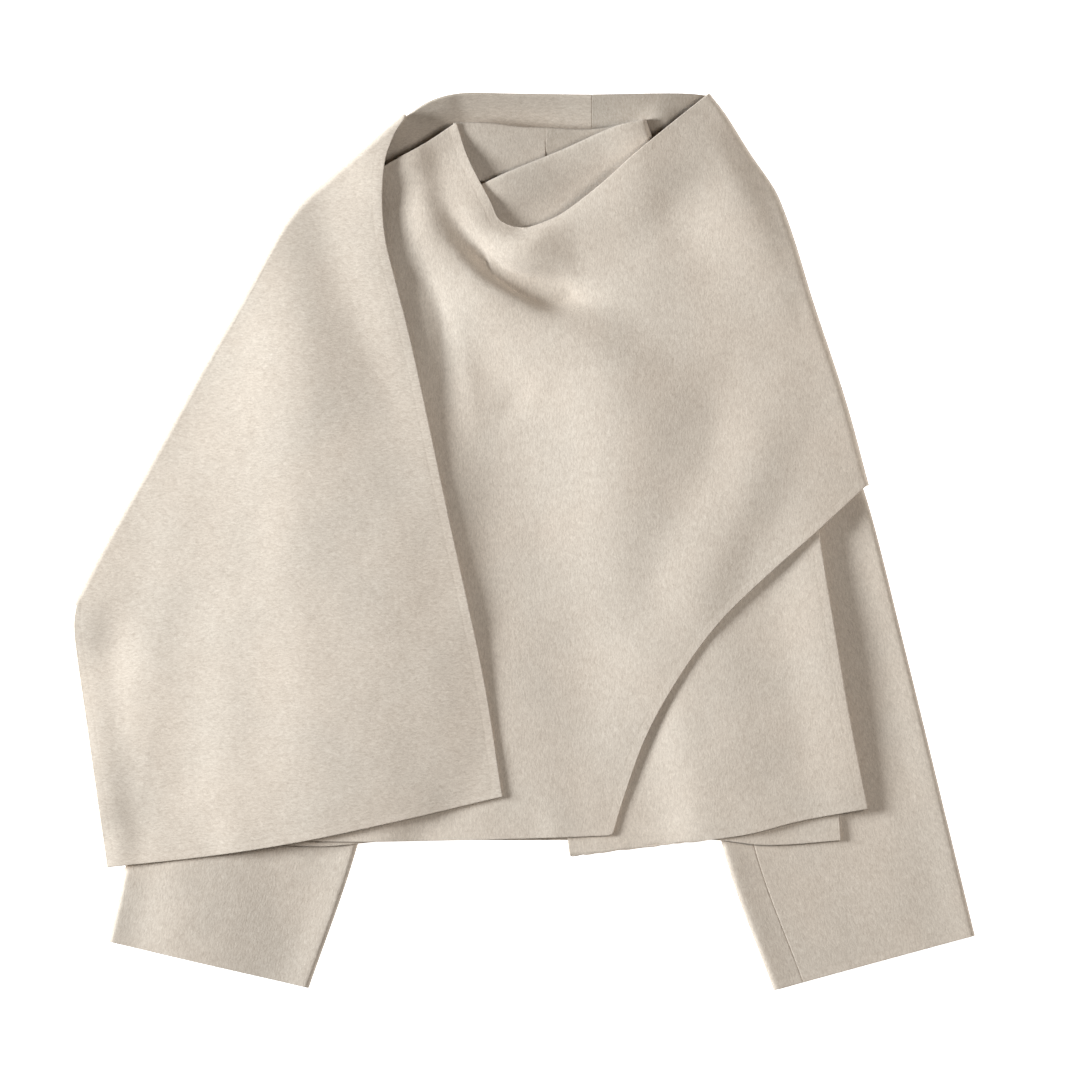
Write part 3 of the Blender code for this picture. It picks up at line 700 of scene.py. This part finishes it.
def wool(name, nap_angle=0.0, behind_nap_and_shade=1.0, painted_shade_tone=1.0):
    """Brushed wool: a melange of light and dark fibres that lie along the nap, with closing stitches.

    Where the layer behind shows its inner face, its nap lies the other way. It is darkened there partly for
    that nap and partly as painted shade, because that face shows inside the neck, where shade falls. The
    piece's tone, where it is below 1, darkens all of the piece as painted shade.
    """
    finish = finish_settings()
    material = bpy.data.materials.new(name)
    material.use_nodes = True
    tree = material.node_tree
    shader = tree.nodes["Principled BSDF"]
    point = node(tree, "ShaderNodeTexCoord").outputs["Object"]
    along_nap = swayed(tree, point)
    clumps = noise_node(tree, point, *CLUMPS)
    layers = (fibres(tree, along_nap, nap_angle, *COARSE_FIBRES),
              fibres(tree, along_nap, nap_angle, *FINE_FIBRES), clumps)
    edge = node(tree, "ShaderNodeSeparateXYZ")
    tree.links.new(node(tree, "ShaderNodeUVMap", uv_map="edge").outputs["UV"], edge.inputs[0])
    stitches = stitch_line(tree, edge.outputs["X"])

    # Painted shade: the fibre colours of a whole piece are darkened where it lies in shade, such as the
    # sleeves under the hems and the collar inside the neck.
    fibre_colors = [[part * painted_shade_tone for part in color] for color in (finish.dark, finish.light)]
    color = ramp_node(tree, weighted_sum(tree, layers, MELANGE), MELANGE_RANGE, fibre_colors)
    patches = noise_node(tree, point, *PATCHES)
    color = multiplied(tree, color, ramp_node(tree, patches, PATCH_RANGE, PATCH_TINTS), 1.0)
    uneven = math_node(tree, "MULTIPLY", clumps, STITCH_DARKNESS)
    color = multiplied(tree, color, STITCH_SHADE, math_node(tree, "MULTIPLY", stitches, uneven))
    # The inner face is darker partly for its nap and partly as painted shade inside the neck.
    behind = tuple(behind_nap_and_shade * part for part in BEHIND_TINT)
    color = multiplied(tree, color, behind, edge.outputs["Y"])
    tree.links.new(color, shader.inputs["Base Color"])

    pressed = math_node(tree, "MULTIPLY", stitches, STITCH_DEPTH)
    height = math_node(tree, "SUBTRACT", weighted_sum(tree, layers, RELIEF), pressed)
    bump = node(tree, "ShaderNodeBump")
    bump.inputs["Strength"].default_value = RELIEF_STRENGTH
    bump.inputs["Distance"].default_value = RELIEF_DEPTH
    tree.links.new(height, bump.inputs["Height"])
    tree.links.new(bump.outputs["Normal"], shader.inputs["Normal"])

    shader.inputs["Roughness"].default_value = finish.roughness
    shader.inputs["Specular IOR Level"].default_value = SPECULAR
    shader.inputs["Sheen Weight"].default_value = finish.sheen
    shader.inputs["Sheen Roughness"].default_value = SHEEN_ROUGHNESS
    shader.inputs["Sheen Tint"].default_value = (*SHEEN_TINT, 1.0)
    return material


# ---- panels that fold over one side --------------------------------------------------------------
FOLD_END = 0.45             # share of a fold's rise and width left at both its ends
FOLD_TAPER = 0.12           # share of the fold's length over which it narrows to that
ROLL_STEPS = 9              # steps of the cloth's turn round a folded edge
EDGE_RUNS = 30              # cells of an edge, for the distance from it on the bed
PULL_POWER = 8              # how quickly a grid's pull to its fold line dies away
CAPE_ROWS = 76
COLLAR_ROWS = 16
FINE_COLUMNS = 6            # columns that a row gains beside a cut edge
CREASE_CROWD = 1.55         # brings the right front's rows closer together at the crease


def end_taper(rows):
    s = np.linspace(0.0, 1.0, rows)
    near = np.clip(np.minimum(s, 1.0 - s) / FOLD_TAPER, 0.0, 1.0)
    return FOLD_END + (1.0 - FOLD_END) * np.sin(0.5 * pi * near)


def roll(centre, outward, low, high, reach):
    """Sections round a folded edge, without their two ends: from high, above, to low, below."""
    sections = []
    for step in range(1, ROLL_STEPS):
        angle = pi / 2 - pi * step / ROLL_STEPS
        flat = centre + outward * (reach * cos(angle))[:, None]
        z = 0.5 * (low + high) + 0.5 * (high - low) * sin(angle)
        sections.append(np.column_stack((flat, z)))
    return np.stack(sections, axis=1)


def pulled(flat, target, column):
    """Moves one end column of a grid to a line, and the rest with it, less and less."""
    share = np.linspace(0.0, 1.0, flat.shape[1])
    if column == 0:
        share = share[::-1]
    return flat + (target - flat[:, column])[:, None] * (share**PULL_POWER)[None, :, None]


class Folded:
    """A panel that lies on top, folds over one side and goes on underneath."""

    def __init__(self, front, fold, back, towards):
        cloth = settings()
        inside = inward(fold, towards)
        share = end_taper(len(fold))
        self.outward = -inside
        self.reach = cloth.fold_reach / MM * share
        self.rise = cloth.fold_rise / MM * share
        self.centre = fold + inside * (self.reach + half_cloth())[:, None]
        self.front = pulled(front, self.centre, -1)
        self.back = pulled(back, self.centre, 0)

    def lie_below(self, bed, folds):
        """Lays the part underneath flat on the floor, but for its folds."""
        z = half_cloth() + bed.folds(folds)
        self.low = bed.read(z, self.back)
        bed.cover(bed.inside(outline_of(self.back)), z)

    def lay(self, bed, reach, folds, seed, edges=(), tuck=NO_FOLDS):
        """Lays the part on top. It comes down to what is below at some edges, and its fold stays up."""
        edges = [curve_through(edge, EDGE_RUNS) for edge in edges]
        z = bed.lay(outline_of(self.front), reach / MM, folds, seed, self.held_up(bed), edges)
        self.high = bed.read(z, self.front)
        self.front = self.front + bed.read(bed.folds(tuck), self.front)[..., None] * np.array(TUCK_WAY)

    def held_up(self, bed):
        """A height map that is bare but for the line where the fold holds the upper layer up."""
        raised = np.zeros_like(bed.x)
        top = self.low[:, 0] + self.rise
        for x, y, z in curve_between(np.column_stack((self.centre, top)), 3):
            column = int(round((x + bed.half) / bed.cell))
            row = int(round((y + bed.half) / bed.cell))
            spot = raised[row - 1:row + 2, column - 1:column + 2]
            np.maximum(spot, z, out=spot)
        return raised

    def grid(self):
        rolled = roll(self.centre, self.outward, self.low[:, 0], self.high[:, -1], self.reach)
        return np.hstack((np.dstack((self.front, self.high)), rolled, np.dstack((self.back, self.low))))


def curve_between(line, parts):
    """A line with each of its steps cut into equal parts."""
    where = np.linspace(0.0, len(line) - 1.0, parts * (len(line) - 1) + 1)
    index = np.arange(len(line))
    return np.column_stack([np.interp(where, index, line[:, k]) for k in range(line.shape[1])])


def shifted(line, x, y=0.0):
    return line + (x, y)


def with_end(line, x):
    """A line whose last point is drawn back along x, to leave half a seam of air."""
    line = line.copy()
    line[-1, 0] += x
    return line


# In the panels, a number beside a table is the number of cells along its curve.
def fold_line_of(front, table):
    """The fold line, with its points at the rows of the grid that ends on it."""
    line = curve_through(table, 400)
    length = lengths_along(line)
    steps = lengths_along(front[:, -1])
    where = steps / steps[-1] * length[-1]
    return np.column_stack([np.interp(where, length, line[:, k]) for k in range(2)])


def cape_half(front, fold_table, top, hem, columns, seam_side, towards):
    """Half of the cape: a front that folds over one shoulder and goes behind the neck to the cape seam."""
    fold = fold_line_of(front, fold_table)
    draw_back = seam_side * half_seam()
    seam = shifted(curve_through(CAPE_SEAM, len(fold) - 1), draw_back)
    back = patch(with_end(curve_through(top, columns), draw_back),
                 with_end(curve_through(hem, columns), draw_back), fold, seam)
    return Folded(front, fold, respaced(back, columns + FINE_COLUMNS, False, True), towards)


def scarf_panel():
    front = patch(curve_through(SCARF_CUT[::-1], 200), curve_through(SCARF_SIDE[::-1], 200),
                  curve_through(SCARF_HEM, 150), curve_through(SCARF_FOLD, 150))
    front = respaced(front, 98, True, False)
    front = across(respaced(across(front), CAPE_ROWS))
    return cape_half(front, SCARF_FOLD, CAPE_TOP_RIGHT, CAPE_HEM_RIGHT, 34, -1, (-60, -40))


def front_right_panel():
    top = edge_of((FRONT_SHOULDER, 60), (NECKLINE[:6], 116), (NECKLINE[5:], 64))
    bottom = edge_of((FRONT_HEM, 110), (FRONT_CURVE, 130))
    front = patch(top, bottom, curve_through(FRONT_SIDE, 150), curve_through(FRONT_FOLD, 150))
    front = across(respaced(across(front[:, ::2]), CAPE_ROWS, crowd=CREASE_CROWD))
    return cape_half(front, FRONT_FOLD, CAPE_TOP_LEFT, CAPE_HEM_LEFT, 20, 1, (60, 100))


class CollarLeft(Folded):
    """The left half of the stand collar: its band behind the neck folds forward into the tab."""

    def __init__(self):
        fold = curve_through((COLLAR_TOP_LEFT[-1], COLLAR_FOOT_LEFT[-1]), COLLAR_ROWS)
        front = patch(curve_through(TAB_TOP, 48), curve_through(TAB_FOOT, 48),
                      curve_through((TAB_TOP[0], TAB_FOOT[0]), COLLAR_ROWS), fold)
        top = with_end(curve_through(COLLAR_TOP_LEFT[::-1], 24), half_seam())
        foot = shifted(with_end(curve_through(COLLAR_FOOT_LEFT[::-1], 24), half_seam()),
                       0.0, 2.0 * half_seam())
        back = patch(top, foot, fold, curve_through((top[-1], foot[-1]), COLLAR_ROWS))
        super().__init__(front, fold, respaced(back, 24 + FINE_COLUMNS, False, True), (40, 310))

    def lie_below(self, bed, folds):
        """Lays the band behind the neck over what is there."""
        mask = bed.inside(outline_of(self.back))
        z, _ = bed.drape(mask, settings().reach / MM)
        z = z + bed.folds(folds)
        bed.cover(mask, z)
        self.low = bed.read(z, self.back)


# ---- sleeves -------------------------------------------------------------------------------------
SEAM_CELL = 0.7             # width of the cells beside a seam
SIDE_PARTS = (0.0, 0.2, 0.4, 0.6, 0.8, 0.966)       # columns between a sleeve's side and its seam
SIDE_COLUMNS = len(SIDE_PARTS)                      # index of the seam's column
SLEEVE_ROWS = 60


class Sleeve:
    """A flat tube of one upper and one lower panel, with a rolled side at each edge."""

    seam_inset = 25.0
    rise = 5.4              # from the lower layer's middle to the upper one's, at the sides
    reach = 2.8             # half width of a side's roll
    side_fall = 16.0        # distance from a side over which the upper layer comes down
    lift = 2.0              # waves it is lifted by, so that they don't touch the lower layer
    columns = 34

    def __init__(self, table):
        line = curve_through(table, 200)[:, None]
        line = across(respaced(across(line), SLEEVE_ROWS))[:, 0]
        outer, inner = line[:, :2], line[:, 2:]
        self.outward = outer - inner
        self.width = np.linalg.norm(self.outward, axis=1)
        self.outward /= self.width[:, None]
        self.share = self.shares()
        self.flat = inner[:, None] + self.outward[:, None] * self.share[:, :, None]

    def shares(self):
        """Distance of each column from the inner side, with columns at both seams and close beside them."""
        near, far = self.seam_inset, self.width - self.seam_inset
        first = self.reach + half_cloth()
        last = self.width - first
        columns = [first + (near - first) * part for part in SIDE_PARTS]
        columns += [near, near + SEAM_CELL]
        columns += [near + (far - near) * k / self.columns for k in range(1, self.columns)]
        columns += [far - SEAM_CELL, far]
        columns += [last - (last - far) * part for part in SIDE_PARTS[::-1]]
        return np.column_stack([np.broadcast_to(column, self.width.shape) for column in columns])

    def lay(self, bed, folds, seed):
        cloth = settings()
        mask = bed.inside(outline_of(self.flat))
        z, _ = bed.drape(mask, cloth.reach / MM)
        self.low = bed.read(z, self.flat)
        apart = (cloth.thickness + cloth.gap) / MM
        side = np.minimum(self.share, self.width[:, None] - self.share)
        puff = (self.rise - apart) * np.exp(-(side / self.side_fall)**2)
        swell = bed.folds(folds) + bed.waves(seed) + self.lift * cloth.waviness / MM
        self.high = self.low + apart + puff + np.maximum(bed.read(swell, self.flat), 0.0)
        bed.cover(mask, bed.spread(self.as_field(bed, mask), mask, bed.outline_blur))

    def as_field(self, bed, mask):
        """The upper layer's height over the whole tube, from the points of its grid."""
        total, count = np.zeros_like(bed.x), np.zeros_like(bed.x)
        column = np.round((self.flat[..., 0] + bed.half) / bed.cell).astype(int)
        row = np.round((self.flat[..., 1] + bed.half) / bed.cell).astype(int)
        np.add.at(total, (row, column), self.high)
        np.add.at(count, (row, column), 1.0)
        smooth = bed.blur(total, bed.sparse_blur) / np.maximum(bed.blur(count, bed.sparse_blur), 1e-4)
        return np.where(mask, smooth, 0.0)

    def side(self, column, outward):
        reach = np.full(len(outward), self.reach)
        return roll(self.flat[:, column], outward, self.low[:, column], self.high[:, column], reach)

    def parts(self):
        upper = np.dstack((self.flat, self.high))
        lower = np.dstack((self.flat, self.low))
        return upper, lower, self.side(0, -self.outward), self.side(-1, self.outward)


def trimmed(grid):
    """Draws the long edges of a strip back by half a seam."""
    grid = grid.copy()
    half_seam = 0.5 * settings().seam / MM
    for edge, inside in ((0, 1), (-1, -2)):
        step = grid[:, inside] - grid[:, edge]
        grid[:, edge] += step / np.linalg.norm(step, axis=1)[:, None] * half_seam
    return grid


def left_sleeve_panels(sleeve):
    """The front seam lies on top, beside the inner side, and the back seam below, beside the outer side."""
    upper, lower, inner, outer = sleeve.parts()
    s = SIDE_COLUMNS
    upper_panel = np.hstack((upper[:, s:], outer, lower[:, :-s - 2:-1]))
    under_panel = np.hstack((lower[:, -s - 1::-1], inner[:, ::-1], upper[:, :s + 1]))
    return trimmed(upper_panel), trimmed(under_panel)


def right_sleeve_panels(sleeve):
    """Both seams lie below, so the upper panel rolls round both sides."""
    upper, lower, inner, outer = sleeve.parts()
    s = SIDE_COLUMNS
    upper_panel = np.hstack((lower[:, s::-1], inner[:, ::-1], upper, outer, lower[:, :-s - 2:-1]))
    under_panel = lower[:, -s - 1:s - 1:-1]
    return trimmed(upper_panel), trimmed(under_panel)


def cuff_distance(grid):
    """Distance of each point from the cuff, which is the last row."""
    return np.linalg.norm(grid[..., :2] - grid[-1:, :, :2], axis=-1)


# ---- operators -----------------------------------------------------------------------------------
def lay_flat_piece(name, flat, seed, closed_edges, folds=NO_FOLDS, painted_shade_tone=1.0):
    z = BED.lay(outline_of(flat), settings().reach / MM, folds, seed)
    grid = np.dstack((flat, BED.read(z, flat)))
    edges = [curve_through(edge) for edge in closed_edges]
    piece = cloth_mesh(name, grid, distance_to(flat, edges))
    # The tone darkens the whole piece as painted shade.
    place(piece, name, wool(name + "_wool", painted_shade_tone=painted_shade_tone))


def make_folded_piece(name, panel, edges, edges_behind, material):
    """The mesh of a folded panel that has been laid, from its closed edges on top and underneath."""
    grid = panel.grid()
    columns = panel.front.shape[1]
    on_top = distance_to(grid[:, :columns, :2], [curve_through(edge) for edge in edges])
    underneath = distance_to(grid[:, columns:, :2], [curve_through(edge) for edge in edges_behind])
    piece = cloth_mesh(name, grid, np.hstack((on_top, underneath)), columns + ROLL_STEPS)
    place(piece, name, material)


class COAT_OT_bed(bpy.types.Operator):
    """Clears the bed and lays the part of the cape that lies behind everything else"""
    bl_idname = "cape_coat.bed"
    bl_label = "Start on an empty floor"

    def execute(self, context):
        BED.top[:] = 0.0
        CAPE["scarf"] = scarf_panel()
        CAPE["front_right"] = front_right_panel()
        for panel in CAPE.values():
            panel.lie_below(BED, BACK_NECK_FOLDS)
        return {"FINISHED"}


class COAT_OT_sleeves(bpy.types.Operator):
    """Lays the two sleeves, each of an upper and an under panel"""
    bl_idname = "cape_coat.sleeves"
    bl_label = "Sleeves"

    def execute(self, context):
        # Each sleeve's tone is painted shade, for the shadow of the hems that lie over it.
        for side, table, panels_of, nap_angle, painted_shade_tone, seed in (
                ("left", LEFT_SLEEVE, left_sleeve_panels, radians(14), 0.97, 3),
                ("right", RIGHT_SLEEVE, right_sleeve_panels, radians(-12), 0.91, 4)):
            sleeve = Sleeve(table)
            sleeve.lay(BED, SLEEVE_FOLDS, seed)
            for part, grid in zip(("upper", "under"), panels_of(sleeve)):
                name = f"sleeve_{side}_{part}"
                piece = cloth_mesh(name, grid, cuff_distance(grid))
                place(piece, name, wool(name + "_wool", nap_angle, painted_shade_tone=painted_shade_tone))
        return {"FINISHED"}


class COAT_OT_back(bpy.types.Operator):
    """Lays the back of the jacket"""
    bl_idname = "cape_coat.back"
    bl_label = "Back"

    def execute(self, context):
        flat = patch(curve_through(BACK_SHOULDER, 70), curve_through(BACK_HEM, 70),
                     curve_through(BACK_SIDE_RIGHT, 70), curve_through(BACK_SIDE_LEFT, 70))
        flat = across(respaced(across(respaced(flat, 60)), 60))
        lay_flat_piece("back", flat, 5, (BACK_HEM, BACK_SIDE_LEFT, BACK_SIDE_RIGHT))
        return {"FINISHED"}


class COAT_OT_fronts(bpy.types.Operator):
    """Lays the stand collar, the left front and the right front that crosses over it"""
    bl_idname = "cape_coat.fronts"
    bl_label = "Collar and fronts"

    def execute(self, context):
        self.collar_right()
        collar = CollarLeft()
        collar.lie_below(BED, COLLAR_FOLDS)
        self.front_left()
        collar.lay(BED, settings().reach, TAB_FOLDS, 8)
        # The collar's tones darken it partly for its nap and partly as painted shade inside the neck.
        make_folded_piece("collar_left", collar, (TAB_TOP,), (COLLAR_TOP_LEFT,),
                          wool("collar_left_wool", behind_nap_and_shade=0.82, painted_shade_tone=0.9))
        self.front_right(CAPE["front_right"])
        return {"FINISHED"}

    def collar_right(self):
        top = shifted(curve_through(COLLAR_TOP_RIGHT, 26), -half_seam())
        foot = shifted(curve_through(COLLAR_FOOT_RIGHT, 26), -half_seam(), 2.0 * half_seam())
        flat = patch(top, foot, curve_through((top[0], foot[0]), 14), curve_through((top[-1], foot[-1]), 14))
        flat = respaced(flat, 30, False, True)
        # The collar's tone is partly its nap and partly painted shade inside the neck.
        lay_flat_piece("collar_right", flat, 6, (COLLAR_TOP_RIGHT,), COLLAR_FOLDS, 0.84)

    def front_left(self):
        flat = patch(curve_through(UNDER_SHOULDER, 60), curve_through(UNDER_HEM, 60),
                     curve_through(UNDER_FRONT, 90), curve_through(UNDER_SIDE, 90))
        flat = across(respaced(across(respaced(flat, 56)), 84))
        lay_flat_piece("front_left", flat, 7, (UNDER_HEM, UNDER_SIDE, UNDER_FRONT), UNDER_FOLDS)

    def front_right(self, panel):
        panel.lay(BED, settings().cape_reach, FRONT_FOLDS, 9, (FRONT_HEM,), FRONT_TUCK)
        # The band behind the neck is darkened partly for its nap and partly as painted shade.
        make_folded_piece("front_right", panel, (NECKLINE, FRONT_CURVE, FRONT_HEM),
                          (CAPE_TOP_LEFT, CAPE_HEM_LEFT), wool("front_right_wool", behind_nap_and_shade=0.68))


class COAT_OT_scarf(bpy.types.Operator):
    """Lays the cape's scarf end over the shoulder"""
    bl_idname = "cape_coat.scarf"
    bl_label = "Scarf end"

    def execute(self, context):
        panel = CAPE["scarf"]
        panel.lay(BED, settings().cape_reach, SCARF_FOLDS, 10, (SCARF_CUT, SCARF_HEM))
        # The band behind the neck is darkened partly for its nap and partly as painted shade.
        make_folded_piece("scarf", panel, (SCARF_CUT, SCARF_HEM, SCARF_SIDE),
                          (CAPE_TOP_RIGHT, CAPE_HEM_RIGHT),
                          wool("scarf_wool", nap_angle=radians(90), behind_nap_and_shade=0.84))
        return {"FINISHED"}


FLOOR_HALF = 6.0
FLOOR_DROP = 0.0004         # how far the floor is below the cloth that lies on it
FLOOR_WHITE = (0.86, 0.86, 0.86, 1.0)
FLOOR_ROUGHNESS = 0.9
VIEW_CENTRE = (0.0135, 0.0012)
SENSOR_WIDTH = 36.0
VIEW_END = 50.0
KEY_COLOR = (0.86, 0.93, 1.0)
TOP_COLOR = (1.0, 1.0, 1.0)
FILL_COLOR = (1.0, 0.91, 0.81, 1.0)


class COAT_OT_stage(bpy.types.Operator):
    """Sets the white floor, the studio lights and the camera that looks straight down"""
    bl_idname = "cape_coat.stage"
    bl_label = "Stage"

    def execute(self, context):
        scene = context.scene
        studio = scene.cape_coat_studio
        self.floor(scene, studio)
        self.light(scene, studio, "key", studio.key, studio.key_size, studio.key_height, studio.key_side,
                   KEY_COLOR)
        self.light(scene, studio, "top", studio.top, studio.top_size, studio.top_height, studio.top_side,
                   TOP_COLOR)
        self.fill(scene, studio)
        self.camera(scene, studio)
        scene.view_settings.view_transform = "Standard"
        return {"FINISHED"}

    def floor(self, scene, studio):
        bm = bmesh.new()
        bmesh.ops.create_grid(bm, x_segments=1, y_segments=1, size=FLOOR_HALF)
        bmesh.ops.translate(bm, verts=bm.verts, vec=(0.0, 0.0, -FLOOR_DROP))
        mesh = bpy.data.meshes.new("floor")
        bm.to_mesh(mesh)
        bm.free()
        floor = bpy.data.objects.new("floor", mesh)
        scene.collection.objects.link(floor)
        material = bpy.data.materials.new("floor_white")
        material.use_nodes = True
        shader = material.node_tree.nodes["Principled BSDF"]
        shader.inputs["Base Color"].default_value = FLOOR_WHITE
        shader.inputs["Roughness"].default_value = FLOOR_ROUGHNESS
        shader.inputs["Emission Color"].default_value = (1.0, 1.0, 1.0, 1.0)
        shader.inputs["Emission Strength"].default_value = studio.floor_glow
        mesh.materials.append(material)

    def light(self, scene, studio, name, power, size, height, side, color):
        """A round soft light that faces the coat from a height and a side, both angles."""
        lamp = bpy.data.lights.new(name, "AREA")
        lamp.shape = "DISK"
        lamp.size = size
        lamp.energy = power
        lamp.color = color
        holder = bpy.data.objects.new(name, lamp)
        towards = Vector((cos(height) * cos(side), cos(height) * sin(side), sin(height)))
        holder.location = studio.distance * towards
        holder.rotation_euler = towards.to_track_quat("Z", "Y").to_euler()
        scene.collection.objects.link(holder)

    def fill(self, scene, studio):
        world = bpy.data.worlds.new("studio")
        world.use_nodes = True
        background = world.node_tree.nodes["Background"]
        background.inputs["Color"].default_value = FILL_COLOR
        background.inputs["Strength"].default_value = studio.fill
        scene.world = world

    def camera(self, scene, studio):
        camera = bpy.data.cameras.new("camera")
        camera.sensor_width = SENSOR_WIDTH
        camera.lens = camera.sensor_width * studio.camera_height / studio.view_width
        camera.clip_end = VIEW_END
        holder = bpy.data.objects.new("camera", camera)
        holder.location = (*VIEW_CENTRE, studio.camera_height)
        scene.collection.objects.link(holder)
        scene.camera = holder


OPERATORS = (COAT_OT_bed, COAT_OT_sleeves, COAT_OT_back, COAT_OT_fronts, COAT_OT_scarf, COAT_OT_stage)


class COAT_PT_panel(bpy.types.Panel):
    bl_idname = "COAT_PT_panel"
    bl_label = "Cape Coat"
    bl_space_type = "VIEW_3D"
    bl_region_type = "UI"
    bl_category = "Cape Coat"

    def draw(self, context):
        layout = self.layout
        for group in (context.scene.cape_coat_cloth, context.scene.cape_coat_finish,
                      context.scene.cape_coat_studio):
            box = layout.box()
            for name in group.__annotations__:
                box.prop(group, name)
        for operator in OPERATORS:
            layout.operator(operator.bl_idname)


GROUPS = (("cape_coat_cloth", CoatCloth), ("cape_coat_finish", CoatFinish), ("cape_coat_studio", CoatStudio))


def register():
    for name, group in GROUPS:
        bpy.utils.register_class(group)
        setattr(bpy.types.Scene, name, PointerProperty(type=group))
    for operator in OPERATORS:
        bpy.utils.register_class(operator)
    bpy.utils.register_class(COAT_PT_panel)


def unregister():
    bpy.utils.unregister_class(COAT_PT_panel)
    for operator in reversed(OPERATORS):
        bpy.utils.unregister_class(operator)
    for name, group in reversed(GROUPS):
        delattr(bpy.types.Scene, name)
        bpy.utils.unregister_class(group)


def main():
    register()
    bpy.ops.cape_coat.bed()
    bpy.ops.cape_coat.sleeves()
    bpy.ops.cape_coat.back()
    bpy.ops.cape_coat.fronts()
    bpy.ops.cape_coat.scarf()
    bpy.ops.cape_coat.stage()


if __name__ == "__main__":
    main()
